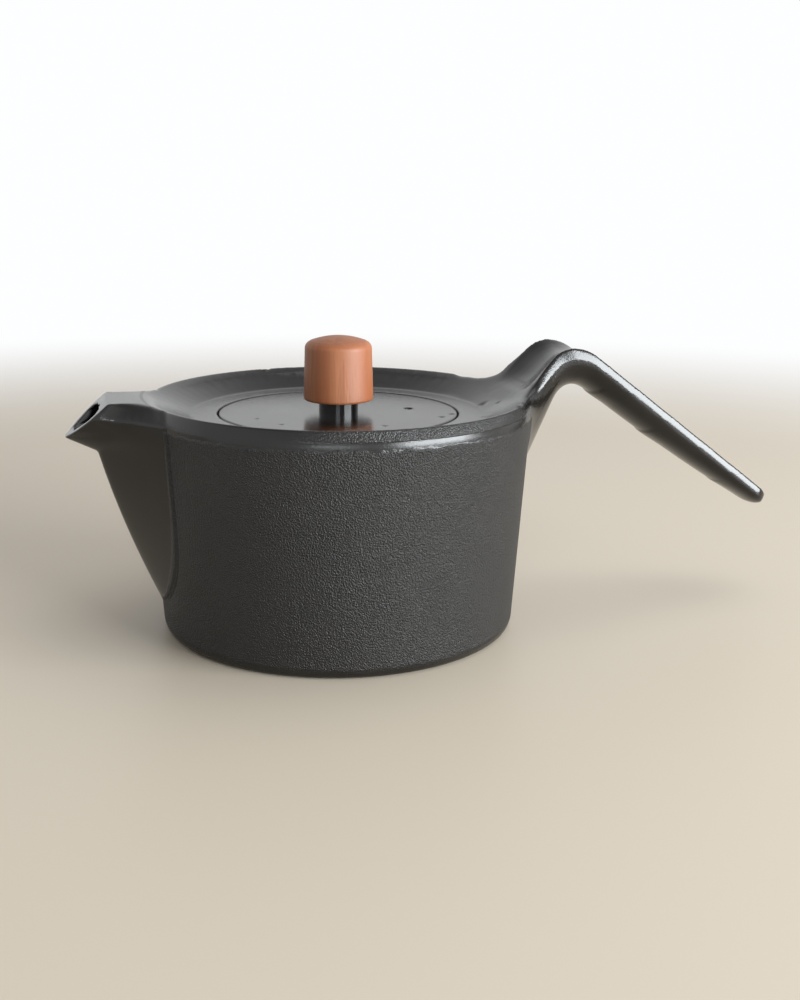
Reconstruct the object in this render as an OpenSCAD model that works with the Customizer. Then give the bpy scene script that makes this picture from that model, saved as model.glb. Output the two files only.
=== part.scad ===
// Cast-iron teapot with a flush lift-off lid, a turned wooden knob and a lift-out strainer.
// Origin: centre of the foot's rest face. +Z up, +X along the handle, -X towards the spout.

/* [Bowl] */
// Outer radius of the bowl at the foot
base_r = 58.4; // [54:0.1:64]
// Outward lean of the wall, millimetres for each millimetre of height
wall_lean = 0.063; // [0.03:0.001:0.1]
// Height of the crisp rim edge above the table
rim_z = 76.5; // [68:0.5:90]
// Thickness of the cast wall
wall_t = 3.2; // [2.6:0.1:4]
// Thickness of the floor
floor_t = 4; // [3:0.5:6]
// Radius of the edge round the foot
foot_edge_r = 2.4; // [1:0.2:4]
// Radius between the floor and the wall inside
inside_r = 6; // [3:0.5:10]

/* [Rim and deck] */
// Height of the bevelled band under the rim edge
band_h = 4; // [2.5:0.25:6]
// How far the band leans out from the rim edge to its lower edge
band_run = 2.1; // [1:0.1:3]
// Fall from the rim edge to the flat deck
deck_drop = 5.9; // [4.5:0.1:8]
// Inner radius of the slope between rim and deck
slope_in_r = 48; // [45:0.5:52]
// Thickness of the deck around the lid
deck_t = 3.8; // [3:0.2:5]

/* [Lid seat] */
// Radius of the lid
lid_r = 39; // [37:0.2:41]
// Thickness of the lid
lid_t = 3.4; // [2.6:0.1:4.5]
// Gap around the lid
lid_gap = 0.4; // [0.3:0.05:0.8]
// Width of the ledge inside the seat, which carries the strainer
ledge_w = 3.4; // [2.5:0.1:5]
// Thickness of the ledge
ledge_t = 3.4; // [2.5:0.1:5]

/* [Lid] */
// Radius of the steam vent
vent_r = 1.25; // [0.8:0.05:2]
// Distance of the steam vent from the centre
vent_x = 23.8; // [20:0.2:27]
// Clearance between the locating ring under the lid and the strainer's basket
locator_gap = 1.2; // [0.6:0.1:2.5]
// Width of the locating ring
locator_w = 2.2; // [1.6:0.1:3]
// Depth of the locating ring under the lid
locator_h = 3; // [2:0.25:5]

/* [Knob] */
// Radius of the knob at its foot
knob_r = 11.35; // [9:0.05:14]
// Radius of the knob at its shoulder
knob_top_r = 10.9; // [8.5:0.05:13.5]
// Height of the knob
knob_h = 20.9; // [16:0.1:26]
// Rise of the domed top above the shoulder round
dome_h = 1.7; // [0.5:0.1:3]
// Radius of the shoulder round
shoulder_r = 2.4; // [1:0.1:4]
// Radius of the small round at the knob's foot
knob_foot_r = 0.8; // [0.3:0.1:1.5]
// Radius of the black spacer between lid and knob
collar_r = 6.4; // [5.5:0.1:8]
// Height of the black spacer
collar_h = 3.9; // [2:0.1:6]
// Radius of the screw's shank
screw_r = 2; // [1.5:0.1:2.5]
// Clearance around the screw's shank
screw_gap = 0.15; // [0.05:0.05:0.3]
// Radius of the screw's head
screw_head_r = 4; // [3.2:0.1:5]
// Height of the screw's head
screw_head_h = 2.4; // [1.5:0.1:3.5]
// Radius of the washer under the lid
washer_r = 4.8; // [4.2:0.1:6.5]
// Thickness of the washer
washer_t = 0.8; // [0.5:0.1:1.5]
// Outer radius of the threaded insert in the knob
insert_r = 3.2; // [2.8:0.1:4]
// Length of the threaded insert
insert_h = 9; // [6:0.5:12]
// Clearance of the insert in the knob
insert_gap = 0.05; // [0.02:0.01:0.1]

/* [Handle] */
// Half the width of the handle's top face at the crest
handle_half = 12.5; // [9:0.25:16]
// Half the width of the handle's top face at the tip
tip_half = 9.5; // [7:0.25:12.5]
// Radius of the sweep from the rim into the handle's sides
handle_fillet_r = 20; // [12:0.5:26]
// Distance of the crest from the pot's axis
crest_x = 77; // [74:0.5:84]
// Height of the crest above the rim edge
crest_rise = 14.6; // [11:0.2:19]
// Slope of the rise from the rim to the crest
rise_angle = 46; // [40:1:52]
// Slope of the arm from the crest down to the tip
fall_angle = 36.5; // [28:0.5:42]
// Radius of the hollow where the rise leaves the rim
hollow_r = 13; // [8:0.5:15]
// Radius of the crest on the rising side
crest_in_r = 10; // [6:0.5:12]
// Radius of the crest on the falling side
crest_out_r = 14; // [8:0.5:18]
// Distance of the handle's tip from the pot's axis
handle_reach = 158; // [130:0.5:175]
// Depth of the handle at the crest
crest_depth = 13.8; // [11:0.2:17]
// Depth of the arm just past the crest
arm_depth = 9.9; // [7:0.1:14]
// Depth of the arm at the tip
tip_depth = 6.4; // [4.5:0.1:9.5]
// Height of the bevel along the arm
arm_bevel_h = 2.8; // [1.5:0.1:4]
// How far the arm's bevel leans out
arm_bevel_run = 1.4; // [0.5:0.1:2.5]

/* [Spout] */
// Half the width of the beak's top face at its mouth
beak_half = 11.5; // [9:0.25:14]
// Radius of the sweep from the rim into the beak's sides
beak_fillet_r = 16; // [10:0.5:22]
// Distance of the beak's tip from the pot's axis
tip_x = 87.5; // [82:0.5:94]
// Height of the beak's tip below the rim edge
tip_drop = 10.9; // [8:0.1:13]
// Rise of the beak's top face above the rim edge
beak_rise = 1; // [0:0.1:2]
// Slope of the cut across the mouth
mouth_angle = 41.2; // [36:0.5:48]
// Distance of the throat, where the beak meets the prow, from the axis
throat_x = 77.5; // [74:0.25:80]
// Height of the throat below the rim edge
throat_drop = 15.8; // [13:0.1:19]
// Height above the table where the prow grows out of the wall
prow_foot_z = 10; // [5:0.5:20]
// Bulge of the prow's line in side view
prow_bulge = 1.3; // [0:0.1:2.5]
// Half the width of the spout's root on the wall
root_half = 25.5; // [20:0.5:28]
// Softness of the prow's nose
nose_soft = 1.3; // [0.6:0.1:3]
// Thickness of the spout's sides
spout_wall = 3.4; // [2.6:0.1:4]

/* [Strainer] */
// Thickness of the strainer's sheet steel
sheet_t = 0.6; // [0.5:0.05:0.9]
// Clearance of the strainer in the mouth of the pot
basket_gap = 1.4; // [0.5:0.1:3]
// Taper of the basket, radius lost from top to bottom
basket_taper = 2; // [0:0.1:4]
// Depth of the basket below the ledge
basket_h = 44; // [30:1:50]
// Height of the hoop round the basket's floor
hoop_h = 4; // [3:0.5:6]
// Height of the collar under the strainer's flange
flange_h = 5; // [3:0.5:8]
// Plain height left above and below the rows of holes
plain_h = 5; // [3:0.5:8]
// Radius of a hole in the basket
hole_r = 1.1; // [0.7:0.05:1.4]
// Number of holes in one row of the basket
holes_round = 30; // [20:1:36]
// Number of rows of holes in the wall
hole_rows = 7; // [4:1:9]
// Number of rings of holes in the basket's floor
floor_rings = 5; // [3:1:6]

/* [Hidden] */
$fn = 96;
far = 400;

// Bowl
function wall_r(z) = base_r + wall_lean * z;
band_low_z = rim_z - band_h;
band_low_r = wall_r(band_low_z);
rim_r = band_low_r - band_run;
deck_z = rim_z - deck_drop;
deck_low_z = deck_z - deck_t;

// Lid seat, from the deck down
seat_r = lid_r + lid_gap;
mouth_r = seat_r - ledge_w;
basket_r = mouth_r - basket_gap - sheet_t;
locator_r = basket_r - sheet_t - locator_gap;
lid_low_z = deck_z - lid_t;
ledge_z = lid_low_z - sheet_t;
ledge_low_z = ledge_z - ledge_t;

// Knob stack, from the lid up
collar_z = deck_z;
knob_z = deck_z + collar_h;
screw_bore_r = screw_r + screw_gap;
insert_bore_r = screw_r + insert_gap;

// Plan outline: the rim circle with a strap grown out of it through a fillet on each side
// How far the roots of handle and spout stay inside the bowl's own surface
seam = 1;
function lerp(a, b, t) = a + (b - a) * t;
function smooth(t) = let (s = min(1, max(0, t))) s * s * (3 - 2 * s);
function bezier(a, b, c, t) = lerp(lerp(a, b, t), lerp(b, c, t), t);
function circle_half(x, r) = sqrt(max(0, r * r - x * x));
function strap_half(x, half, fillet, out) =
    let (r = rim_r + out, h = half + out, f = fillet - out,
         cx = sqrt(pow(r + f, 2) - pow(h + f, 2)), tx = cx * r / (r + f))
    x < tx ? circle_half(x, r) : x < cx ? h + f - circle_half(cx - x, f) : h;

// Handle, in side view as [distance from the axis, height]: the edge of the top face
crest = [crest_x, rim_z + crest_rise];
rise_end = crest - crest_in_r * [sin(rise_angle), 1 - cos(rise_angle)];
hollow_x = rise_end[0] - (rise_end[1] - rim_z) / tan(rise_angle) - hollow_r * tan(rise_angle / 2);
rise_start = [hollow_x, rim_z] + hollow_r * [sin(rise_angle), 1 - cos(rise_angle)];
fall_start = crest + crest_out_r * [sin(fall_angle), cos(fall_angle) - 1];
fall_dir = [cos(fall_angle), -sin(fall_angle)];
fall_down = [-sin(fall_angle), -cos(fall_angle)];
settle = 10;
arm_start = fall_start + settle * fall_dir;
arm_len = (handle_reach - arm_start[0]) / fall_dir[0];

// Handle: the line of the keel underneath
under_rise = 69;
under_crest = crest + [3.2, -crest_depth];
under_in = under_crest - [4.8, 0];
neck = under_in - 7.3 * [cos(under_rise), sin(under_rise)];
under_root_z = rim_z - 44.5;
function under_wall(top) = [top[0], max(under_root_z, neck[1] - (neck[0] - top[0]) * tan(under_rise))];
arm_under = arm_start + arm_depth * fall_down;
under_out = arm_under + fall_dir * ((under_crest[1] - arm_under[1]) / fall_dir[1]);

// Stations along the handle: [top edge, keel]
root_x = rim_r - 10.8;
tip_round = 7;
stations = concat(
    [for (t = [0 : 1 / 3 : 0.99]) let (top = [lerp(root_x, hollow_x, t), rim_z]) [top, under_wall(top)]],
    [for (t = [0 : 1 / 9 : 0.99])
        let (a = rise_angle * t, top = [hollow_x + hollow_r * sin(a), rim_z + hollow_r * (1 - cos(a))])
        [top, under_wall(top)]],
    [for (t = [0 : 1 / 6 : 0.99]) [lerp(rise_start, rise_end, t), lerp(under_wall(rise_start), neck, t)]],
    [for (t = [0 : 1 / 9 : 0.99]) let (a = rise_angle * (1 - t))
        [crest - crest_in_r * [sin(a), 1 - cos(a)], bezier(neck, under_in, under_crest, t)]],
    [for (t = [0 : 1 / 7 : 0.99]) let (a = fall_angle * t)
        [crest + crest_out_r * [sin(a), cos(a) - 1], bezier(under_crest, under_out, arm_under, t / 2)]],
    [for (t = [0 : 1 / 3 : 0.99])
        [lerp(fall_start, arm_start, t), bezier(under_crest, under_out, arm_under, (1 + t) / 2)]],
    [for (t = [0 : 1 / 8 : 1.01]) let (top = arm_start + fall_dir * (arm_len - tip_round) * t)
        [top, top + fall_down * lerp(arm_depth, tip_depth, t * t)]]);

// Spout in side view: the line of the prow up the wall, then of the beak out to its tip
throat = [throat_x, rim_z - throat_drop];
beak_tip = [tip_x, rim_z - tip_drop];
prow_foot = [wall_r(prow_foot_z), prow_foot_z];
function prow_x(z) = let (t = (z - prow_foot[1]) / (throat[1] - prow_foot[1]))
    lerp(prow_foot[0], throat[0], t) + 4 * prow_bulge * max(0, t * (1 - t));
function beak_x(z) = throat[0] + (z - throat[1]) * (beak_tip[0] - throat[0]) / (beak_tip[1] - throat[1]);

// Half-width of the spout at a height, x outwards: the wedge of the prow joined with the beak's trough
throat_blend = 3;
top_blend = 1.2;
root_blend = 3;
lip = 0.15;
spout_points = 16;
beak_spread = 1.617;
beak_power = 0.625;
function prow_nose(z) = max(wall_r(z) + 0.2, prow_x(z));
function prow_root(z) =
    let (r = wall_r(z), touch = 0.985 * r * sqrt(1 - pow(r / prow_nose(z), 2)))
    (root_half + touch - sqrt(pow(root_half - touch, 2) + root_blend * min(touch, 8))) / 2;
function prow_root_x(z) = circle_half(prow_root(z), wall_r(z) + lip);
function prow_half(x, z) =
    let (d = max(0, prow_nose(z) - x), span = prow_nose(z) - prow_root_x(z))
    prow_root(z) * sqrt(d * (d + 2 * nose_soft)) / sqrt(span * (span + 2 * nose_soft));
function beak_half_at(x, z) = min(beak_half + 1, beak_spread * pow(max(0, beak_x(z) - x), beak_power));
function spout_half(x, z) =
    let (a = prow_half(x, z), b = z > throat[1] ? beak_half_at(x, z) : 0,
         k = throat_blend * smooth((z - throat[1]) / 6))
    (a + b + sqrt(pow(a - b, 2) + k * k)) / 2;

// Lowest point of the prow and of the beak at a distance from the axis
function prow_low(x) =
    let (span = throat[1] - prow_foot[1], run = throat[0] - prow_foot[0], b = run + 4 * prow_bulge,
         c = 16 * prow_bulge * (min(x, throat[0]) - prow_foot[0]))
    prow_foot[1] + span * (b - sqrt(b * b - c)) / (8 * prow_bulge)
    + max(0, x - throat[0]) * span / (run - 4 * prow_bulge);
function beak_low(x) = throat[1] + (x - throat[0]) * (beak_tip[1] - throat[1]) / (beak_tip[0] - throat[0]);

// Hollow of the spout: the same forms drawn in by the wall, outwards along the spout and sideways
hollow_shift = 1.15 * spout_wall;
function hollow_low(x) =
    max(prow_foot_z + 2 * spout_wall, min(prow_low(x + hollow_shift), beak_low(x) + hollow_shift));
function hollow_half(x, z) = max(0.3, prow_half(x + hollow_shift, z),
    z > throat[1] ? min(beak_half, beak_half_at(x + 1, z)) - spout_wall : 0);

// Joins rings of equal length into one closed skin. Each ring starts on the middle plane and runs
// clockwise seen along the row of rings. The two ends are fans from the point opposite the start,
// or, across the middle plane, strips from side to side.
module skin(rings, across = false) {
    n = len(rings[0]);
    m = len(rings);
    sides = [for (i = [0 : m - 2], j = [0 : n - 1])
        let (a = i * n + j, b = i * n + (j + 1) % n) each [[a, b + n, b], [a, a + n, b + n]]];
    fan = [for (j = [1 : n - 2]) [n / 2, (n / 2 + j) % n, (n / 2 + j + 1) % n]];
    strips = [for (a = [0 : floor(n / 2) - 1]) let (b = a + 1, c = n - b, d = (n - a) % n)
        each concat(b == c ? [] : [[a, b, c]], a == d ? [] : [[a, c, d]])];
    first = across ? strips : fan;
    last = [for (f = first) [for (i = [2, 1, 0]) f[i] + (m - 1) * n]];
    polyhedron(points = [for (r = rings) each r], faces = concat(sides, first, last), convexity = 8);
}

// A ring from its half on one side, whose first and last points lie on the middle plane
function whole_ring(half) = concat(half,
    [for (i = [len(half) - 2 : -1 : 1]) [half[i][0], -half[i][1], half[i][2]]]);

// One ring of the handle. The section plane holds the top edge, the keel and the Y direction.
section_arc = 9;
function handle_ring(top, keel, along, shrink) =
    let (deep = norm(keel - top), down = (keel - top) / deep,
         grown = smooth((top[0] - hollow_x) / (crest[0] - hollow_x)),
         past = smooth((top[0] - crest[0]) / (arm_start[0] - crest[0])),
         half = lerp(handle_half, tip_half, along) * shrink,
         run = lerp(lerp(band_run, 1.7, grown), arm_bevel_run, past) * shrink,
         bevel = lerp(band_h, arm_bevel_h, past) * shrink,
         dish = deck_z + (top[0] - slope_in_r) * deck_drop / (rim_r - slope_in_r)
             + 0.15 * (top[0] - rim_r + 4.3) + 0.35,
         sink = lerp(lerp(top[1] - dish, 1, smooth((top[0] - rim_r + 4.8) / 12)), 0.5, past),
         keel_power = lerp(3, 1, grown),
         inset = lerp(seam, -lip, smooth((top[0] - root_x) / (hollow_x - root_x))) * (1 - grown),
         edge = strap_half(top[0], half, handle_fillet_r, -inset),
         low = strap_half(top[0] + down[0] * bevel, half, handle_fillet_r, run - inset))
    whole_ring(concat(
        [for (u = [0 : 0.25 : 0.76]) let (p = top + down * (inset + sink * (1 - pow(u, 2.5))))
            [p[0], -edge * u, p[1]]],
        [let (p = top + down * inset) [p[0], -edge, p[1]]],
        [for (a = [0 : 90 / section_arc : 90.1]) let (p = top + down * lerp(bevel, deep, sin(a)))
            [p[0], a < 89.9 ? -low * pow(cos(a), keel_power) : 0, p[1]]]));

module handle_loft() {
    count = len(stations);
    arm_first = arm_start[0];
    skin(concat(
        [for (s = stations)
            handle_ring(s[0], s[1], max(0, (s[0][0] - crest[0]) / (handle_reach - crest[0])), 1)],
        [for (a = [15 : 15 : 75])
            let (end = stations[count - 1], k = cos(a), out = fall_dir * tip_round * sin(a),
                 lift = fall_down * tip_depth * (1 - k) / 2)
            handle_ring(end[0] + out + lift, end[1] + out - lift, 1, k)]));
}

// The spout's skin. Level rings climb the prow and the beak to the band, one ring follows the top edge,
// and the last ones close the trough on top towards its middle line.
beak_top_z = rim_z + beak_rise;
spout_in_x = rim_r - 13.8;
spout_out_x = tip_x + 5;
function spout_top(x) =
    let (line = deck_z + (x - slope_in_r) * deck_drop / (rim_r - slope_in_r) + 0.25 * (x - rim_r + 2.8))
    (line + beak_top_z - sqrt(pow(line - beak_top_z, 2) + top_blend * top_blend)) / 2;
function spout_edge(x) = lerp(rim_z, beak_top_z, smooth((x - rim_r + 6.8) / 14));
function spout_nose(z) = z > throat[1] ? min(beak_x(z), spout_out_x) : prow_nose(z);
function spout_stations(z) =
    let (nose = spout_nose(z), span = nose - prow_root_x(z),
         soft = lerp(1.4, 1.1, smooth((z - throat[1]) / 8)))
    [for (i = [0 : spout_points]) nose - span * pow(i / spout_points, soft)];
function round_ring(side) = concat([[side[0][0], 0, side[0][2]]],
    [for (i = [1 : len(side) - 1]) [side[i][0], -side[i][1], side[i][2]]],
    [for (i = [len(side) - 1 : -1 : 1]) side[i]]);

// The inner end of each ring dips straight into the wall, then ends inside the bowl
function level_ring(z) =
    let (root = prow_root(z), r = wall_r(z), k = (r - 2) / (r + lip),
         high = min(z, 60) + 0.3 * max(0, z - 60))
    round_ring(concat(
        [for (x = spout_stations(z)) [-x, spout_half(x, z), z]],
        [[-prow_root_x(z) * k, root * k, lerp(z, high, 0.1)], [-spout_in_x, root * 0.7, high]]));

function top_ring(u) =
    let (r = band_low_r, k = (r - 2) / (r + lip), root_x = prow_root_x(band_low_z),
         in_z = band_low_z - 8 + 2 * (1 - u))
    round_ring(concat(
        [for (x = spout_stations(band_low_z))
            [-x, u * strap_half(x, beak_half, beak_fillet_r, 0),
             lerp(spout_top(x), spout_edge(x), pow(u, 2.5))]],
        [let (x = root_x * k) [-x, u * strap_half(x, beak_half, beak_fillet_r, -0.6),
                              lerp(spout_top(x), spout_edge(x) - 0.8, pow(u, 2.5))]],
        [[-spout_in_x, u * prow_root(band_low_z) * 0.7, in_z]]));

module spout_loft() {
    skin(across = true, rings = concat(
        [for (i = [0 : 14]) level_ring(lerp(prow_foot_z + 0.6, throat[1] - 0.5, i / 14))],
        [for (i = [0 : 12]) level_ring(lerp(throat[1], band_low_z, pow(i / 12, 1.5)))],
        [for (u = [1, 0.8, 0.6, 0.4, 0.2, 0.03]) top_ring(u)]));
}

function hollow_ring(x) =
    let (high = min(spout_top(x), beak_top_z) - 0.7 * spout_wall, low = hollow_low(x), arch = 2.6,
         lid_half = hollow_half(x, high - arch))
    whole_ring(concat(
        [for (a = [0 : 30 : 60]) [-x, lid_half * sin(a), high - arch * (1 - cos(a))]],
        [for (i = [0 : spout_levels]) let (z = lerp(high - arch, low, sin(90 * i / spout_levels)))
            [-x, i < spout_levels ? hollow_half(x, z) : 0, z]]));

spout_levels = 12;
module spout_hollow() {
    skin([for (run = [[-12 : 3 : -5], [-4 : 1.5 : 14], [15 : 2 : 31]], out = run) hollow_ring(rim_r + out)]);
}

module bowl_profile() {
    polygon(concat(
        [[0, 0]],
        [for (a = [0 : 15 : 90])
            [wall_r(0) - foot_edge_r + foot_edge_r * sin(a), foot_edge_r * (1 - cos(a))]],
        [[band_low_r, band_low_z], [rim_r, rim_z], [slope_in_r, deck_z], [0, deck_z]]));
}

module hollow_profile() {
    polygon(concat(
        [[0, floor_t]],
        [for (a = [0 : 15 : 90]) [wall_r(floor_t) - wall_t - inside_r + inside_r * sin(a),
                                 floor_t + inside_r * (1 - cos(a))]],
        [[wall_r(deck_low_z - 8) - wall_t, deck_low_z - 8], [wall_r(deck_low_z) - wall_t - 8, deck_low_z],
         [seat_r + 3, deck_low_z], [seat_r + 1, ledge_low_z], [mouth_r, ledge_low_z], [mouth_r, ledge_z],
         [seat_r, ledge_z], [seat_r, deck_z + 1], [0, deck_z + 1]]));
}

module mouth_cut() {
    translate([-beak_tip[0], 0, beak_tip[1]]) rotate([0, -mouth_angle, 0])
        translate([-far / 2, -far / 2, 0]) cube([far, far, far]);
}

module pot_body() {
    color("dimgray") difference() {
        union() {
            rotate_extrude($fn = 180) bowl_profile();
            handle_loft();
            difference() {
                spout_loft();
                mouth_cut();
            }
        }
        rotate_extrude($fn = 180) hollow_profile();
        spout_hollow();
    }
}

// Ring with a rectangular section
module band(outer, inner, low, high) {
    rotate_extrude() translate([inner, low]) square([outer - inner, high - low]);
}

module lid() {
    color("dimgray") difference() {
        union() {
            translate([0, 0, lid_low_z]) cylinder(r = lid_r, h = lid_t);
            band(locator_r, locator_r - locator_w, lid_low_z - locator_h, lid_low_z);
        }
        translate([0, 0, lid_low_z - 1]) cylinder(r = screw_bore_r, h = lid_t + 2);
        translate([vent_x, 0, lid_low_z - 1]) cylinder(r = vent_r, h = lid_t + 2);
    }
}

module knob_profile() {
    side_top = knob_z + knob_h - dome_h - shoulder_r;
    polygon(concat(
        [[insert_r + insert_gap, knob_z]],
        [for (a = [0 : 30 : 90]) [knob_r - knob_foot_r * (1 - sin(a)), knob_z + knob_foot_r * (1 - cos(a))]],
        [for (a = [0 : 10 : 70]) [knob_top_r - shoulder_r * (1 - cos(a)), side_top + shoulder_r * sin(a)]],
        [for (t = [1 : -0.125 : 0]) [(knob_top_r - shoulder_r * 0.7) * t,
                                    knob_z + knob_h - dome_h * t * t]],
        [[0, knob_z + insert_h + 1], [insert_r + insert_gap, knob_z + insert_h + 1]]));
}

module knob() {
    color("sienna") rotate_extrude() knob_profile();
}

module knob_collar() {
    color("black") band(collar_r, screw_bore_r, collar_z, knob_z);
}

module knob_insert() {
    color("goldenrod") band(insert_r, insert_bore_r, knob_z, knob_z + insert_h);
}

module knob_washer() {
    color("silver") band(washer_r, screw_bore_r, lid_low_z - washer_t, lid_low_z);
}

module knob_screw() {
    head_z = lid_low_z - washer_t - screw_head_h;
    color("silver") difference() {
        union() {
            translate([0, 0, head_z]) cylinder(r = screw_head_r, h = screw_head_h);
            translate([0, 0, head_z]) cylinder(r = screw_r, h = knob_z + insert_h - 1 - head_z);
        }
        for (turn = [0, 90]) rotate([0, 0, turn])
            translate([-screw_head_r * 0.6, -0.5, head_z - 1]) cube([screw_head_r * 1.2, 1, 2]);
    }
}

// Strainer
basket_low_z = ledge_z - basket_h;
function basket_at(z) = basket_r - basket_taper * (ledge_z - z) / basket_h;

module strainer_rim() {
    color("silver") rotate_extrude() polygon([
        [basket_r, ledge_z - flange_h], [basket_r + sheet_t, ledge_z - flange_h],
        [basket_r + sheet_t, ledge_z],
        [lid_r, ledge_z], [lid_r, ledge_z + sheet_t], [basket_r, ledge_z + sheet_t]]);
}

module strainer_wall() {
    low_row = basket_low_z + hoop_h + plain_h / 2;
    row_pitch = (ledge_z - flange_h - plain_h / 2 - low_row) / (hole_rows - 1);
    color("lightgray") difference() {
        rotate_extrude() polygon([
            [basket_at(basket_low_z) - sheet_t, basket_low_z], [basket_at(basket_low_z), basket_low_z],
            [basket_r, ledge_z], [basket_r - sheet_t, ledge_z]]);
        for (row = [0 : hole_rows - 1], i = [0 : holes_round - 1])
            rotate([0, 0, (i + (row % 2) / 2) * 360 / holes_round])
                translate([basket_r * 0.8, 0, low_row + row * row_pitch]) rotate([0, 90, 0])
                    cylinder(r = hole_r, h = basket_r * 0.25, $fn = 16);
    }
}

module strainer_floor() {
    floor_r = basket_at(basket_low_z) - sheet_t;
    ring_pitch = (floor_r - 3) / floor_rings;
    color("lightgray") difference() {
        translate([0, 0, basket_low_z]) cylinder(r = floor_r, h = sheet_t);
        for (ring = [0 : floor_rings - 1], i = [0 : max(0, 6 * ring - 1)])
            rotate([0, 0, i * 60 / max(1, ring)]) translate([ring * ring_pitch, 0, basket_low_z - 1])
                cylinder(r = hole_r, h = sheet_t + 2, $fn = 16);
    }
}

module strainer_hoop() {
    color("silver") rotate_extrude() polygon([
        [basket_at(basket_low_z), basket_low_z], [basket_at(basket_low_z) + sheet_t, basket_low_z],
        [basket_at(basket_low_z + hoop_h) + sheet_t, basket_low_z + hoop_h],
        [basket_at(basket_low_z + hoop_h), basket_low_z + hoop_h]]);
}

pot_body();
lid();
knob();
knob_collar();
knob_insert();
knob_screw();
knob_washer();
strainer_rim();
strainer_wall();
strainer_floor();
strainer_hoop();
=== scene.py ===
import bpy
import math
import numpy as np
from mathutils import Matrix, Vector


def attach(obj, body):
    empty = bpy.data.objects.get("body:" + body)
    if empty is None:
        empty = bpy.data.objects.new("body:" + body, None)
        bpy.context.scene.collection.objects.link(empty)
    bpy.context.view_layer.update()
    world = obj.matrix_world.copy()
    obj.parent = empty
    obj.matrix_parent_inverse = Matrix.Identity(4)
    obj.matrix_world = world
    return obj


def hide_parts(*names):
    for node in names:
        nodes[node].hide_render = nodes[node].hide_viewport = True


MM = 0.001
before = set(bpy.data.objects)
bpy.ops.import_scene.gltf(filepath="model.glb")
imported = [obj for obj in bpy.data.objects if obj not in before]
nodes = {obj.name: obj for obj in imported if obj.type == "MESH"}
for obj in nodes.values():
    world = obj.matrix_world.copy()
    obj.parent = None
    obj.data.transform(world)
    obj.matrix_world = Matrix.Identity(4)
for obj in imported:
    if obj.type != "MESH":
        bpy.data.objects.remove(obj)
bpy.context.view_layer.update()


# ---------------------------------------------------------------- node helpers
class Net:
    """A material's or world's node tree with short calls."""

    def __init__(self, tree):
        self.t = tree
        tree.nodes.clear()

    def put(self, socket, v):
        if isinstance(v, bpy.types.NodeSocket):
            self.t.links.new(v, socket)
        else:
            socket.default_value = v

    def math(self, op, a, b=0.5, c=0.5, clamp=False):
        n = self.t.nodes.new("ShaderNodeMath")
        n.operation, n.use_clamp = op, clamp
        for s, v in zip(n.inputs, (a, b, c)):
            self.put(s, v)
        return n.outputs[0]

    def times(self, first, *others):
        for other in others:
            first = self.math("MULTIPLY", first, other)
        return first

    def largest(self, first, *others):
        for other in others:
            first = self.math("MAXIMUM", first, other)
        return first

    def span(self, x, a, b, lo=0.0, hi=1.0, smooth=True):
        """Goes from lo to hi while x goes from a to b, and stays there."""
        n = self.t.nodes.new("ShaderNodeMapRange")
        n.interpolation_type = "SMOOTHSTEP" if smooth else "LINEAR"
        for s, v in zip(n.inputs, (x, a, b, lo, hi)):
            self.put(s, v)
        return n.outputs[0]

    def mix(self, f, a, b):
        n = self.t.nodes.new("ShaderNodeMix")
        n.data_type = "RGBA"
        for s, v in zip((n.inputs[0], n.inputs[6], n.inputs[7]), (f, a, b)):
            self.put(s, (*v, 1) if isinstance(v, tuple) else v)
        return n.outputs[2]

    def coords(self):
        return self.t.nodes.new("ShaderNodeTexCoord").outputs["Object"]

    def vector(self, op, vec, other=(0, 0, 0)):
        n = self.t.nodes.new("ShaderNodeVectorMath")
        n.operation = op
        self.put(n.inputs[0], vec)
        n.inputs[1].default_value = other
        return n.outputs

    def scaled(self, vec, s):
        return self.vector("MULTIPLY", vec, s)[0]

    def split(self, vec):
        n = self.t.nodes.new("ShaderNodeSeparateXYZ")
        self.put(n.inputs[0], vec)
        return n.outputs

    def noise(self, vec, scale, detail=2.0, rough=0.5, distort=0.0):
        n = self.t.nodes.new("ShaderNodeTexNoise")
        self.put(n.inputs["Vector"], vec)
        for k, v in (("Scale", scale), ("Detail", detail), ("Roughness", rough), ("Distortion", distort)):
            n.inputs[k].default_value = v
        return n.outputs["Fac"]

    def bump(self, height, distance, strength=1.0):
        n = self.t.nodes.new("ShaderNodeBump")
        self.put(n.inputs["Height"], height)
        n.inputs["Distance"].default_value = distance
        n.inputs["Strength"].default_value = strength
        return n.outputs[0]

    def shader(self, **values):
        """A Principled shader. A tuple is a colour."""
        n = self.t.nodes.new("ShaderNodeBsdfPrincipled")
        for k, v in values.items():
            self.put(n.inputs[k.replace("_", " ")], (*v, 1) if isinstance(v, tuple) else v)
        return n.outputs[0]

    def end(self, shader, kind="ShaderNodeOutputMaterial"):
        self.t.links.new(shader, self.t.nodes.new(kind).inputs[0])


def material(name):
    m = bpy.data.materials.new(name)
    m.use_nodes = True
    return m, Net(m.node_tree)


def seen_rays(net):
    """1 for the rays that show the white background: camera, glossy and transmission rays."""
    ray = net.t.nodes.new("ShaderNodeLightPath").outputs
    return net.largest(ray["Is Camera Ray"], ray["Is Glossy Ray"], ray["Is Transmission Ray"])


def lin(r, g, b):
    """An sRGB colour of 0 to 255 in linear light."""
    return tuple(v / 255 / 12.92 if v <= 10 else ((v / 255 + 0.055) / 1.055) ** 2.4 for v in (r, g, b))


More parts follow.
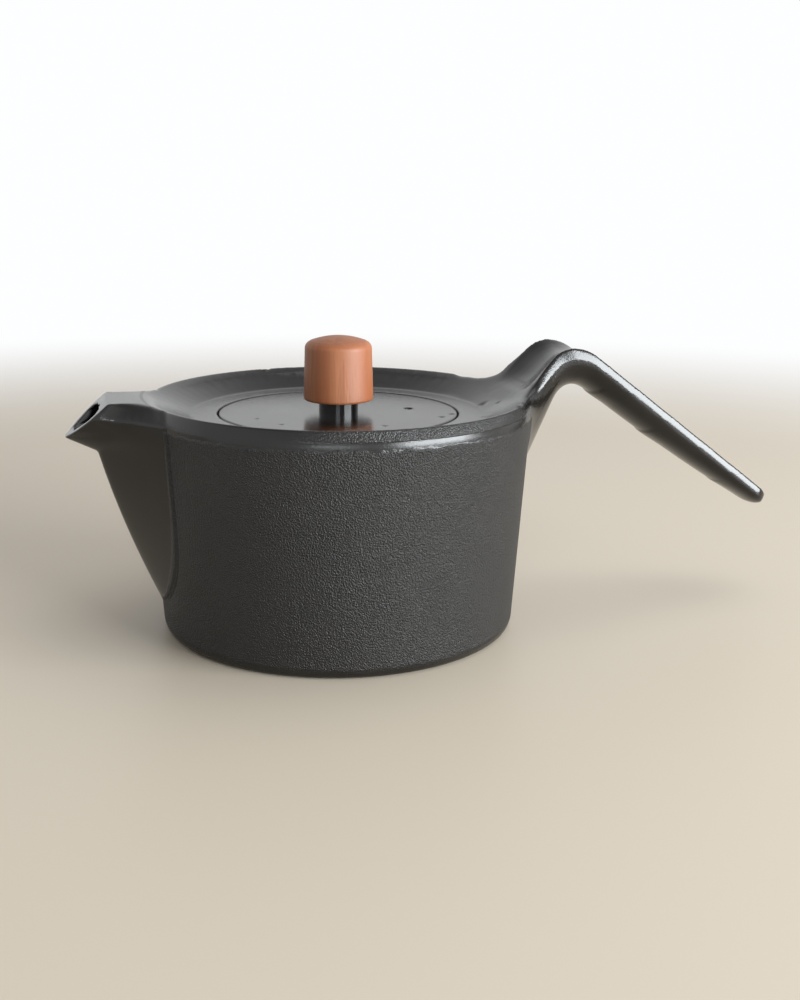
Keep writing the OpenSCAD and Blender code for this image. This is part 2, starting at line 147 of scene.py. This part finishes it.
# ---------------------------------------------------------------- castings, in millimetres
BASE_R, LEAN = 58.4, 0.063                      # wall: radius at the foot, and how much it grows per height
RIM_Z, BAND_H, BAND_RUN = 76.5, 4.0, 2.1        # band under the rim: its top, height and run inwards
BAND_Z = RIM_Z - BAND_H
BAND_R = BASE_R + LEAN * BAND_Z
RIM_R = BAND_R - BAND_RUN
DECK_Z, SEAT_R, LID_R = 70.6, 39.4, 39.0        # deck and lid: height, radius of the seat and of the lid
LID_EDGE_H = 3.6                                # height of the lid's round edge

CREST_X, CREST_Z = 77.0, 91.1                   # the handle's highest point
REACH, RISE, FALL = 158.0, 46.0, 36.5           # its far end, its angles up to the crest and down the arm
HOLLOW_X, HOLLOW_R = 53.138, 13.0               # the hollow arc in which it leaves the rim
CREST_IN_R, CREST_OUT_R = 10.0, 14.0            # radii on both sides of the crest
LINE_START_X = 44.0                             # where its top edge starts on the rim
HANDLE_HALF, HANDLE_TAPER = 12.5, 3.0           # half its width, and what it loses towards the tip
HANDLE_RUN, ARM_RUN = 1.7, 1.4                  # how far the bevel's foot stands out, before and on the arm
HANDLE_BEVEL, ARM_BEVEL = 4.0, 2.8              # depth of the bevel
FOOT_RUN = 0.85                                 # how far its foot stands out in the finer mesh
HANDLE_HOLLOW, ARM_HOLLOW = 1.9, 0.6            # how much deeper the top is in the middle
RAG_DEPTH, RAGS = 0.42, ((93, 101), (113, 124), (141, 149))     # ragged stretches under the arm

SPOUT_THROAT_X, SPOUT_THROAT_Z = 77.5, 60.7     # where the prow meets the beak
PROW_FOOT_Z, PROW_BULGE, ROOT_HALF = 10.0, 1.3, 25.5
TIP, FACE_ANGLE = (-87.5, 0, 65.6), 41.2        # the beak's tip, and the slope of the mouth's face
MOUTH_UP, MOUTH_HALF_H, MOUTH_HALF_W = 9.6, 6.0, 7.6            # the mouth's ellipse on that face
MOUTH_PUSH, MOUTH_FRAME = 1.2, 11.5             # how much wider it gets; half the face's width

TURN_IN, TURN_Z = 0.38, 69.0                    # the wall turns in under the band from this height on
VALLEY_DEPTH, VALLEY_HALF = 0.33, 0.4           # crease where the spout leaves the wall
CHIP_X, CHIP_HALF, CHIP_IN, CHIP_DOWN = -14.7, 1.3, 0.6, 0.45   # chip in the far rim
HANDLE_JOIN = (55, 22, 74)                      # where the band runs up into the handle, on both sides

# Small round pits: (x, y, radius, depth)
POT_PITS = ((49.6, -1, 1.3, 0.4), (52.5, -8, 0.8, 0.25), (-43, -14, 0.8, 0.2),
            (-20, -41, 0.7, 0.2), (43.5, -20, 0.7, 0.2))
LID_PITS = ((30.4, -16.9, 0.9, 0.3), (35.1, -12.6, 0.8, 0.3), (8.8, -27.6, 0.8, 0.25),
            (-22, -19, 0.7, 0.2), (-28, -8, 0.6, 0.2), (-12, -30, 0.6, 0.15))


def step(x, a, b):
    """Goes softly from 0 at a to 1 at b, which may be the lower of the two."""
    t = np.clip((x - a) / (b - a), 0, 1)
    return t * t * (3 - 2 * t)


def bell(off):
    return np.exp(-off * off)


def wall_r(z):
    return BASE_R + LEAN * z


def band_r(z):
    return BAND_R - BAND_RUN * (z - BAND_Z) / BAND_H


def evaluated(ob):
    """A new mesh of the object with its modifiers applied. The modifiers are removed."""
    mesh = bpy.data.meshes.new_from_object(ob.evaluated_get(bpy.context.evaluated_depsgraph_get()))
    ob.modifiers.clear()
    return mesh


def refined(node, name, voxel):
    """A finely meshed copy of a CAD node: its object, its points and its edges."""
    ob = bpy.data.objects.new(name, nodes[node].data.copy())
    bpy.context.scene.collection.objects.link(ob)
    ob.data.materials.clear()
    mod = ob.modifiers.new("fine", "REMESH")
    mod.mode, mod.voxel_size, mod.adaptivity = "VOXEL", voxel * MM, 0
    ob.data = fine = evaluated(ob)
    co = np.empty(len(fine.vertices) * 3)
    fine.vertices.foreach_get("co", co)
    edges = np.empty(len(fine.edges) * 2, int)
    fine.edges.foreach_get("vertices", edges)
    return ob, co.reshape(-1, 3) / MM, edges.reshape(-1, 2)


def ease(co, edges, steps, weight):
    """Rounds the edges as moulding sand does: each step moves a point towards its neighbours' mean."""
    edges = edges[(weight[edges] > 0).any(axis=1)]
    a, b = edges.T
    count = np.maximum(np.bincount(edges.ravel(), minlength=len(co)), 1).astype(float)
    for _ in range(steps):
        for k in range(3):
            c = co[:, k]
            mean = (np.bincount(a, c[b], len(c)) + np.bincount(b, c[a], len(c))) / count
            co[:, k] = c + 0.5 * weight * (mean - c)


def true_round(co, radius_at, on, near):
    """Puts the points that lie close to a surface of revolution exactly onto it."""
    r = np.hypot(co[:, 0], co[:, 1])
    want = radius_at(co[:, 2])
    hold = on * step(np.abs(r - want), near, near * 0.5)
    co[:, :2] *= (1 + hold * (want - r) / np.maximum(r, 1))[:, None]


def pit(co, pits, low_z):
    """Sinks small round pits into the top faces, which are those above low_z."""
    for x, y, radius, depth in pits:
        off = np.hypot(co[:, 0] - x, co[:, 1] - y) / radius
        co[:, 2] -= depth * bell(off) * (co[:, 2] > low_z)


def finished(ob, co, faces):
    """Writes the points back and thins the mesh. It keeps the full mesh's normals for its shading."""
    full = ob.data
    full.vertices.foreach_set("co", (co * MM).ravel())
    full.polygons.foreach_set("use_smooth", [True] * len(full.polygons))
    full.update()
    guide = bpy.data.objects.new("full_mesh", full)
    bpy.context.scene.collection.objects.link(guide)
    thin = ob.modifiers.new("thin", "DECIMATE")
    thin.ratio = min(1, faces / (len(full.polygons) * 2))
    shade = ob.modifiers.new("shade", "DATA_TRANSFER")
    shade.object = guide
    shade.use_loop_data = True
    shade.data_types_loops = {"CUSTOM_NORMAL"}
    shade.loop_mapping = "POLYINTERP_NEAREST"
    ob.data = evaluated(ob)
    bpy.data.objects.remove(guide)
    bpy.data.meshes.remove(full)
    return ob


def arc(cx, cz, r, a0, a1, n=10):
    """Points of an arc in side view. Angles are measured from straight up, positive towards +X."""
    return [(cx + r * math.sin(a), cz + r * math.cos(a)) for a in np.radians(np.linspace(a0, a1, n))]


def handle_line():
    """The handle's top edge in side view, from the rim to the tip."""
    hollow = [(HOLLOW_X + HOLLOW_R * math.sin(a), RIM_Z + HOLLOW_R * (1 - math.cos(a)))
              for a in np.radians(np.linspace(0, RISE, 10))]
    crest = (arc(CREST_X, CREST_Z - CREST_IN_R, CREST_IN_R, -RISE, 0)
             + arc(CREST_X, CREST_Z - CREST_OUT_R, CREST_OUT_R, 0, FALL)[1:])
    x, z = crest[-1]
    tip_z = z - (REACH - x) * math.tan(math.radians(FALL))
    return np.array([(LINE_START_X, RIM_Z)] + hollow + crest + [(REACH, tip_z)])


def under_line(x, z, line):
    """For each point in side view: the x of the nearest point of the line and the depth under it."""
    best, near_x, depth = np.full(len(x), 1e9), np.zeros(len(x)), np.zeros(len(x))
    for (ax, az), (bx, bz) in zip(line, line[1:]):
        dx, dz = bx - ax, bz - az
        t = np.clip(((x - ax) * dx + (z - az) * dz) / (dx * dx + dz * dz), 0, 1)
        px, pz = ax + t * dx, az + t * dz
        d = np.hypot(x - px, z - pz)
        closer = d < best
        best[closer], near_x[closer] = d[closer], px[closer]
        side = (x - ax) * dz - (z - az) * dx
        depth[closer] = (np.sign(side) * d)[closer]
    return near_x, depth


# In the functions below, x, y and z are views of co, so they follow each change of it. The numbers
# that have no name are limits in millimetres, between which a change fades in or out.
def shape_handle(co):
    """Steeper sides, a deeper hollow on top, and a ragged edge where the mould parted under the arm."""
    x, y, z = co.T
    on = np.nonzero((x > 50) & (np.abs(y) < 30) & (z > 30))[0]
    near_x, depth = under_line(x[on], z[on], handle_line())
    grown = step(near_x, 57, 66)
    along = np.clip((near_x - CREST_X) / (REACH - CREST_X), 0, 1)
    past = step(near_x, CREST_X, 93)
    half = HANDLE_HALF - HANDLE_TAPER * along
    run = HANDLE_RUN + (ARM_RUN - HANDLE_RUN) * past
    bevel = HANDLE_BEVEL + (ARM_BEVEL - HANDLE_BEVEL) * past
    steep = (run - FOOT_RUN) / (half + run) * np.clip(depth / bevel, 0, 1) * grown
    co[on, 1] *= 1 - steep

    trough = (HANDLE_HOLLOW + (ARM_HOLLOW - HANDLE_HOLLOW) * past) * grown
    trough = trough * np.clip(1 - (y[on] / half) ** 2, 0, 1) * step(depth, 4.6, 2.6)
    slope = np.radians(np.interp(near_x, [HOLLOW_X, 62.5, 69.8, CREST_X, 85.3, REACH],
                                 [0, -RISE, -RISE, 0, FALL, FALL]))
    co[on, 0] -= trough * np.sin(slope)
    co[on, 2] -= trough * np.cos(slope)

    rag = sum(step(near_x, a, a + 1.0) * step(near_x, b, a + 1.2) for a, b in RAGS)
    co[on, 2] -= RAG_DEPTH * rag * step(depth, 6.0, 8.6)


def widen_mouth(co):
    """The mouth is a little wider at its lip than the channel behind it."""
    x, y, _ = co.T
    dx, _, dz = (co - TIP).T
    face = math.radians(FACE_ANGLE)
    deep = dx * math.sin(face) - dz * math.cos(face)
    up_face = dx * math.cos(face) + dz * math.sin(face) - deep / math.tan(face)
    ellipse = 1 - ((up_face - MOUTH_UP) / MOUTH_HALF_H) ** 2
    hole = MOUTH_HALF_W * np.sqrt(np.maximum(0.05, ellipse))
    side = np.abs(y)
    push = MOUTH_PUSH * (x < -64) * step(deep, 9, 3) * step(up_face, 1, 5) * step(up_face, 19, 15.5)
    push = push * np.minimum(side / hole, 1) * np.clip((MOUTH_FRAME - side) / (MOUTH_FRAME - hole), 0, 1)
    co[:, 1] += np.sign(y) * push


def spout_root(z):
    """Half the width of the spout's root on the wall at a height."""
    foot_r, r = wall_r(PROW_FOOT_Z), wall_r(z)
    t = (z - PROW_FOOT_Z) / (SPOUT_THROAT_Z - PROW_FOOT_Z)
    bulge = 4 * PROW_BULGE * np.maximum(0, t * (1 - t))
    nose = np.maximum(r + 0.2, foot_r + (SPOUT_THROAT_X - foot_r) * t + bulge)
    touch = 0.985 * r * np.sqrt(1 - (r / nose) ** 2)
    return (ROOT_HALF + touch - np.sqrt((ROOT_HALF - touch) ** 2 + 3 * np.minimum(touch, 8))) / 2


def shape_wall(co):
    """A turn-in under the band, the crease at the spout's root, and a chip in the far rim."""
    x, y, z = co.T
    r = np.hypot(x, y)
    rising = np.clip((z - TURN_Z) / (BAND_Z - TURN_Z), 0, 1) ** 2
    fading = np.clip(1 - (z - BAND_Z) / BAND_H, 0, 1)
    turn = TURN_IN * step(x, -50, -44) * step(x, 54, 48) * (r > 57) * np.where(z < BAND_Z, rising, fading)

    root = spout_root(np.clip(z, PROW_FOOT_Z + 1, BAND_Z))
    on_wall = (x < -40) * (r > 57) * (r < wall_r(z) + 1.2) * step(z, 13, 16) * step(z, 72, 69)
    crease = VALLEY_DEPTH * bell((np.abs(y) - root) / VALLEY_HALF) * on_wall

    chip = CHIP_IN * bell((x - CHIP_X) / CHIP_HALF) * (y > 50) * step(z, 75.2, 76.2)
    co[:, :2] *= (1 - (turn + crease + chip) / np.maximum(r, 1))[:, None]
    co[:, 2] -= CHIP_DOWN * bell((x - CHIP_X) / CHIP_HALF) * (y > 58) * step(z, 75.4, 76.3)


def soften_joins(co, edges):
    """The band runs softly up into the handle, and the dish into the spout's top."""
    jx, jy, jz = HANDLE_JOIN
    away = np.sqrt((co[:, 0] - jx) ** 2 + (np.abs(co[:, 1]) - jy) ** 2 + (co[:, 2] - jz) ** 2)
    ease(co, edges, 60, step(away, 14, 8))
    x, y, z = co.T
    ease(co, edges, 20, step(x, -43, -49) * step(x, -70, -64) * step(z, 73, 75) * step(np.abs(y), 24, 16))


def pot():
    ob, co, edges = refined("pot_body", "pot_casting", 0.5)
    x, y, z = co.T
    r = np.hypot(x, y)
    body = (np.abs(x) < 62) & (r < 64)
    on_wall = body & (z > 2.6) & (z < BAND_Z - 0.2)
    on_band = body & (z > BAND_Z + 0.2) & (z < RIM_Z - 0.2)
    true_round(co, wall_r, on_wall, 0.3)
    true_round(co, band_r, on_band, 0.2)
    seat = step(np.abs(r - SEAT_R), 2.5, 1.2) * step(z, 62, 64)
    ease(co, edges, 3, 1 - 0.5 * seat)
    true_round(co, wall_r, on_wall & (z > 3.5) & (z < BAND_Z - 1.2), 0.3)
    shape_handle(co)
    widen_mouth(co)
    shape_wall(co)
    soften_joins(co, edges)
    pit(co, POT_PITS, 68)
    return finished(ob, co, 190_000)


def lid():
    ob, co, edges = refined("lid", "lid_casting", 0.4)
    true_round(co, lambda z: np.full_like(z, LID_R), co[:, 2] > DECK_Z - LID_EDGE_H, 0.12)
    ease(co, edges, 3, np.ones(len(co)))
    pit(co, LID_PITS, 69.5)
    return finished(ob, co, 60_000)


pot_piece, lid_piece = pot(), lid()
for piece, node, body, slot in ((pot_piece, "pot_body", "pot", "cast_iron"),
                                (lid_piece, "lid", "lid", "cast_iron_lid")):
    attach(piece, body)
    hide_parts(node)

# ---------------------------------------------------------------- materials
GRAIN = 0.55 * MM               # depth of the sand-cast grain
SOFT = 0.05                     # its share on the smooth faces
STRIP_Z = 69.2                  # the grain ends a little above this height, on an uneven line


def iron(name, is_lid=False):
    """Black cast iron: sand-cast grain on the wall and band, smoother satin elsewhere."""
    m, n = material(name)
    vec = n.coords()
    cloud = n.noise(vec, 55, 3.0, 0.6)
    coarse = n.noise(vec, 2100, 1.0, 0.5)
    fine = n.noise(vec, 3900, 1.0, 0.5)
    if is_lid:
        grain = on_wall = 0.0
        amount = SOFT
    else:
        x, y, z = n.split(n.scaled(vec, (1000, 1000, 1000)))
        r = n.math("SQRT", n.math("ADD", n.times(x, x), n.times(y, y)))
        off_wall = n.math("ABSOLUTE", n.math("SUBTRACT", r, n.math("MULTIPLY_ADD", z, LEAN, BASE_R)))
        on_wall = n.span(off_wall, 0.7, 0.3)
        limit = n.math("MULTIPLY_ADD", n.noise(vec, 260, 2.0, 0.5), 2.4, STRIP_Z)
        below = n.span(n.math("SUBTRACT", z, limit), 0.5, -0.5)
        on_band = n.times(n.span(z, BAND_Z + 0.3, BAND_Z + 0.9), n.span(r, RIM_R - 0.4, RIM_R + 0.2),
                          n.span(x, -34, -8), n.span(x, 58, 44), 0.7)
        grain = n.math("ADD", n.times(on_wall, below, n.span(z, 1.5, 4.0)), on_band, clamp=True)
        amount = n.math("ADD", grain, SOFT)
    height = n.math("ADD", n.times(coarse, amount), n.times(fine, amount, 0.16))
    rough = n.math("ADD", n.math("MULTIPLY_ADD", cloud, 0.06, 0.15), n.times(grain, 0.24))
    n.end(n.shader(Base_Color=n.mix(n.span(cloud, 0.35, 0.7), lin(17, 15, 14), lin(23, 21, 19)),
                   Roughness=n.math("ADD", rough, n.times(on_wall, 0.09)),
                   Normal=n.bump(height, GRAIN),
                   Specular_IOR_Level=0.45))
    return m


def wood():
    """Reddish-brown turned wood with upright grain and pores."""
    m, n = material("knob_wood")
    vec = n.coords()
    upright = n.scaled(vec, (1, 1, 0.06))
    rings = n.noise(upright, 420, 3.0, 0.6, 0.6)
    broad = n.noise(upright, 130, 2.0, 0.5)
    pores = n.span(n.noise(n.scaled(vec, (1, 1, 0.045)), 1900, 2.0, 0.6), 0.56, 0.72)
    tone = n.mix(n.span(rings, 0.3, 0.72), lin(138, 79, 44), lin(166, 106, 68))
    tone = n.mix(n.span(broad, 0.35, 0.7), tone, lin(146, 84, 48))
    n.end(n.shader(Base_Color=n.mix(n.times(pores, 0.22), tone, lin(112, 60, 36)),
                   Roughness=n.span(rings, 0.2, 0.8, 0.46, 0.56, False),
                   Normal=n.bump(n.math("SUBTRACT", rings, pores), 0.03 * MM, 0.8),
                   Specular_IOR_Level=0.6))
    return m


def plain(name, colour, rough, metal=0.0, scratch=(1, 1, 1), amount=0.1):
    """Turned or polished small parts, with fine marks that can run along one direction."""
    m, n = material(name)
    marks = n.noise(n.scaled(n.coords(), scratch), 3000, 2.0, 0.5)
    n.end(n.shader(Base_Color=lin(*colour), Metallic=metal,
                   Roughness=n.span(marks, 0.2, 0.8, rough, rough + amount, False),
                   Normal=n.bump(marks, 0.005 * MM, 0.5)))
    return m


looks = {
    "knob": wood(),
    "knob_collar": plain("black_spacer", (10, 10, 11), 0.08, amount=0.03),
    "knob_insert": plain("insert_brass", (214, 180, 110), 0.3, 1.0),
    "knob_screw": plain("screw_steel", (190, 190, 192), 0.28, 1.0),
    "knob_washer": plain("washer_steel", (185, 185, 188), 0.3, 1.0),
    "strainer_rim": plain("strainer_rim_steel", (205, 205, 206), 0.22, 1.0),
    "strainer_wall": plain("strainer_sheet", (198, 198, 200), 0.3, 1.0, (1, 1, 0.1)),
    "strainer_floor": plain("strainer_floor_sheet", (198, 198, 200), 0.3, 1.0),
    "strainer_hoop": plain("strainer_hoop_steel", (205, 205, 206), 0.24, 1.0),
}
for name, look in looks.items():
    mesh = nodes[name].data
    if not mesh.materials:
        mesh.materials.append(look)
    for slot in range(len(mesh.materials)):
        mesh.materials[slot] = look
pot_piece.data.materials.append(iron("pot_iron"))
lid_piece.data.materials.append(iron("lid_iron", True))

# ---------------------------------------------------------------- camera
FOCAL, LONG_SIDE = 1250.0, 1000                 # focal length and the picture's long side, in pixels
SENSOR, DIST, HEIGHT = 36, 404.93, 146.09       # millimetres
PAN, PITCH, ROLL, YAW = (math.radians(a) for a in (2.903, 14.617, 0.624, 12.0))
look = Vector((math.sin(PAN) * math.cos(PITCH), math.cos(PAN) * math.cos(PITCH), -math.sin(PITCH)))
right = look.cross(Vector((0, 0, 1))).normalized()
up = right.cross(look)
turn = Matrix((math.cos(ROLL) * right + math.sin(ROLL) * up,
               -math.sin(ROLL) * right + math.cos(ROLL) * up,
               -look)).transposed().to_4x4()
turn.translation = Vector((0, -DIST, HEIGHT)) * MM
cam_data = bpy.data.cameras.new("camera")
cam = bpy.data.objects.new("camera", cam_data)
bpy.context.scene.collection.objects.link(cam)
cam.matrix_world = Matrix.Rotation(-YAW, 4, "Z") @ turn
cam_data.sensor_width = SENSOR
cam_data.lens = FOCAL / LONG_SIDE * SENSOR
cam_data.clip_start, cam_data.clip_end = 0.01, 50
bpy.context.scene.camera = cam

# ---------------------------------------------------------------- floor, world, lights, in metres
FLOOR_HALF = 4
SKY = (0.985, 0.993, 1)         # the colour of the white all round

floor_mesh = bpy.data.meshes.new("floor")
floor_mesh.from_pydata([(FLOOR_HALF * x, FLOOR_HALF * y, 0) for x, y in ((-1, -1), (1, -1), (1, 1), (-1, 1))],
                       [], [(0, 1, 2, 3)])
floor = bpy.data.objects.new("floor", floor_mesh)
bpy.context.scene.collection.objects.link(floor)

# The floor is pale and takes the shadow near the object. Further off it goes over into white.
m, n = material("floor_pale")
base = n.shader(Base_Color=lin(212, 200, 182), Roughness=0.45, Specular_IOR_Level=0.25)
white = n.t.nodes.new("ShaderNodeEmission")
white.inputs["Color"].default_value = (*SKY, 1)
distance = n.vector("LENGTH", n.coords())["Value"]
both = n.t.nodes.new("ShaderNodeMixShader")
n.put(both.inputs[0], n.times(seen_rays(n), n.span(distance, 0.32, 0.8)))
n.put(both.inputs[1], base)
n.put(both.inputs[2], white.outputs[0])
n.end(both.outputs[0])
floor_mesh.materials.append(m)

# The world is white where it is seen. Its light on the object is a little stronger from behind it.
world = bpy.data.worlds.new("studio")
bpy.context.scene.world = world
world.use_nodes = True
w = Net(world.node_tree)
direction = w.t.nodes.new("ShaderNodeTexCoord").outputs["Generated"]
brightest = Matrix.Rotation(-YAW, 3, "Z") @ Vector((-0.1, 0.98, 0.1))
light = w.span(w.vector("DOT_PRODUCT", direction, brightest)["Value"], -0.6, 0.9, 0.28, 0.52)
shown = w.span(w.split(direction)[2], 0.45, 0.9, 1.0, 0.5)
bg = w.t.nodes.new("ShaderNodeBackground")
bg.inputs[0].default_value = (*SKY, 1)
w.put(bg.inputs[1], w.mix(seen_rays(w), light, shown))
w.end(bg.outputs[0], "ShaderNodeOutputWorld")


def lamp(name, azimuth, elevation, distance, size, power, colour):
    """A soft rectangular lamp. Azimuth is measured from the camera's side, positive to its right."""
    data = bpy.data.lights.new(name, "AREA")
    data.shape, data.size, data.size_y = "RECTANGLE", size[0], size[1]
    data.energy, data.color = power, colour
    obj = bpy.data.objects.new(name, data)
    bpy.context.scene.collection.objects.link(obj)
    a, e = math.radians(azimuth) - YAW, math.radians(elevation)
    d = Vector((math.sin(a) * math.cos(e), -math.cos(a) * math.cos(e), math.sin(e)))
    aim = Vector((0.02, 0, 0.05))
    obj.location = aim + d * distance
    obj.rotation_euler = (-d).to_track_quat("-Z", "Y").to_euler()


lamp("window", 57, 10.5, 1.3, (1.05, 0.52), 36, (0.92, 0.97, 1))
lamp("front", -4, 9, 1.3, (0.5, 0.22), 2.4, (0.9, 0.96, 1))
lamp("overhead", 110, 68, 1.5, (1.2, 1.2), 6, (1, 0.99, 0.98))

bpy.context.scene.view_settings.view_transform = "Standard"
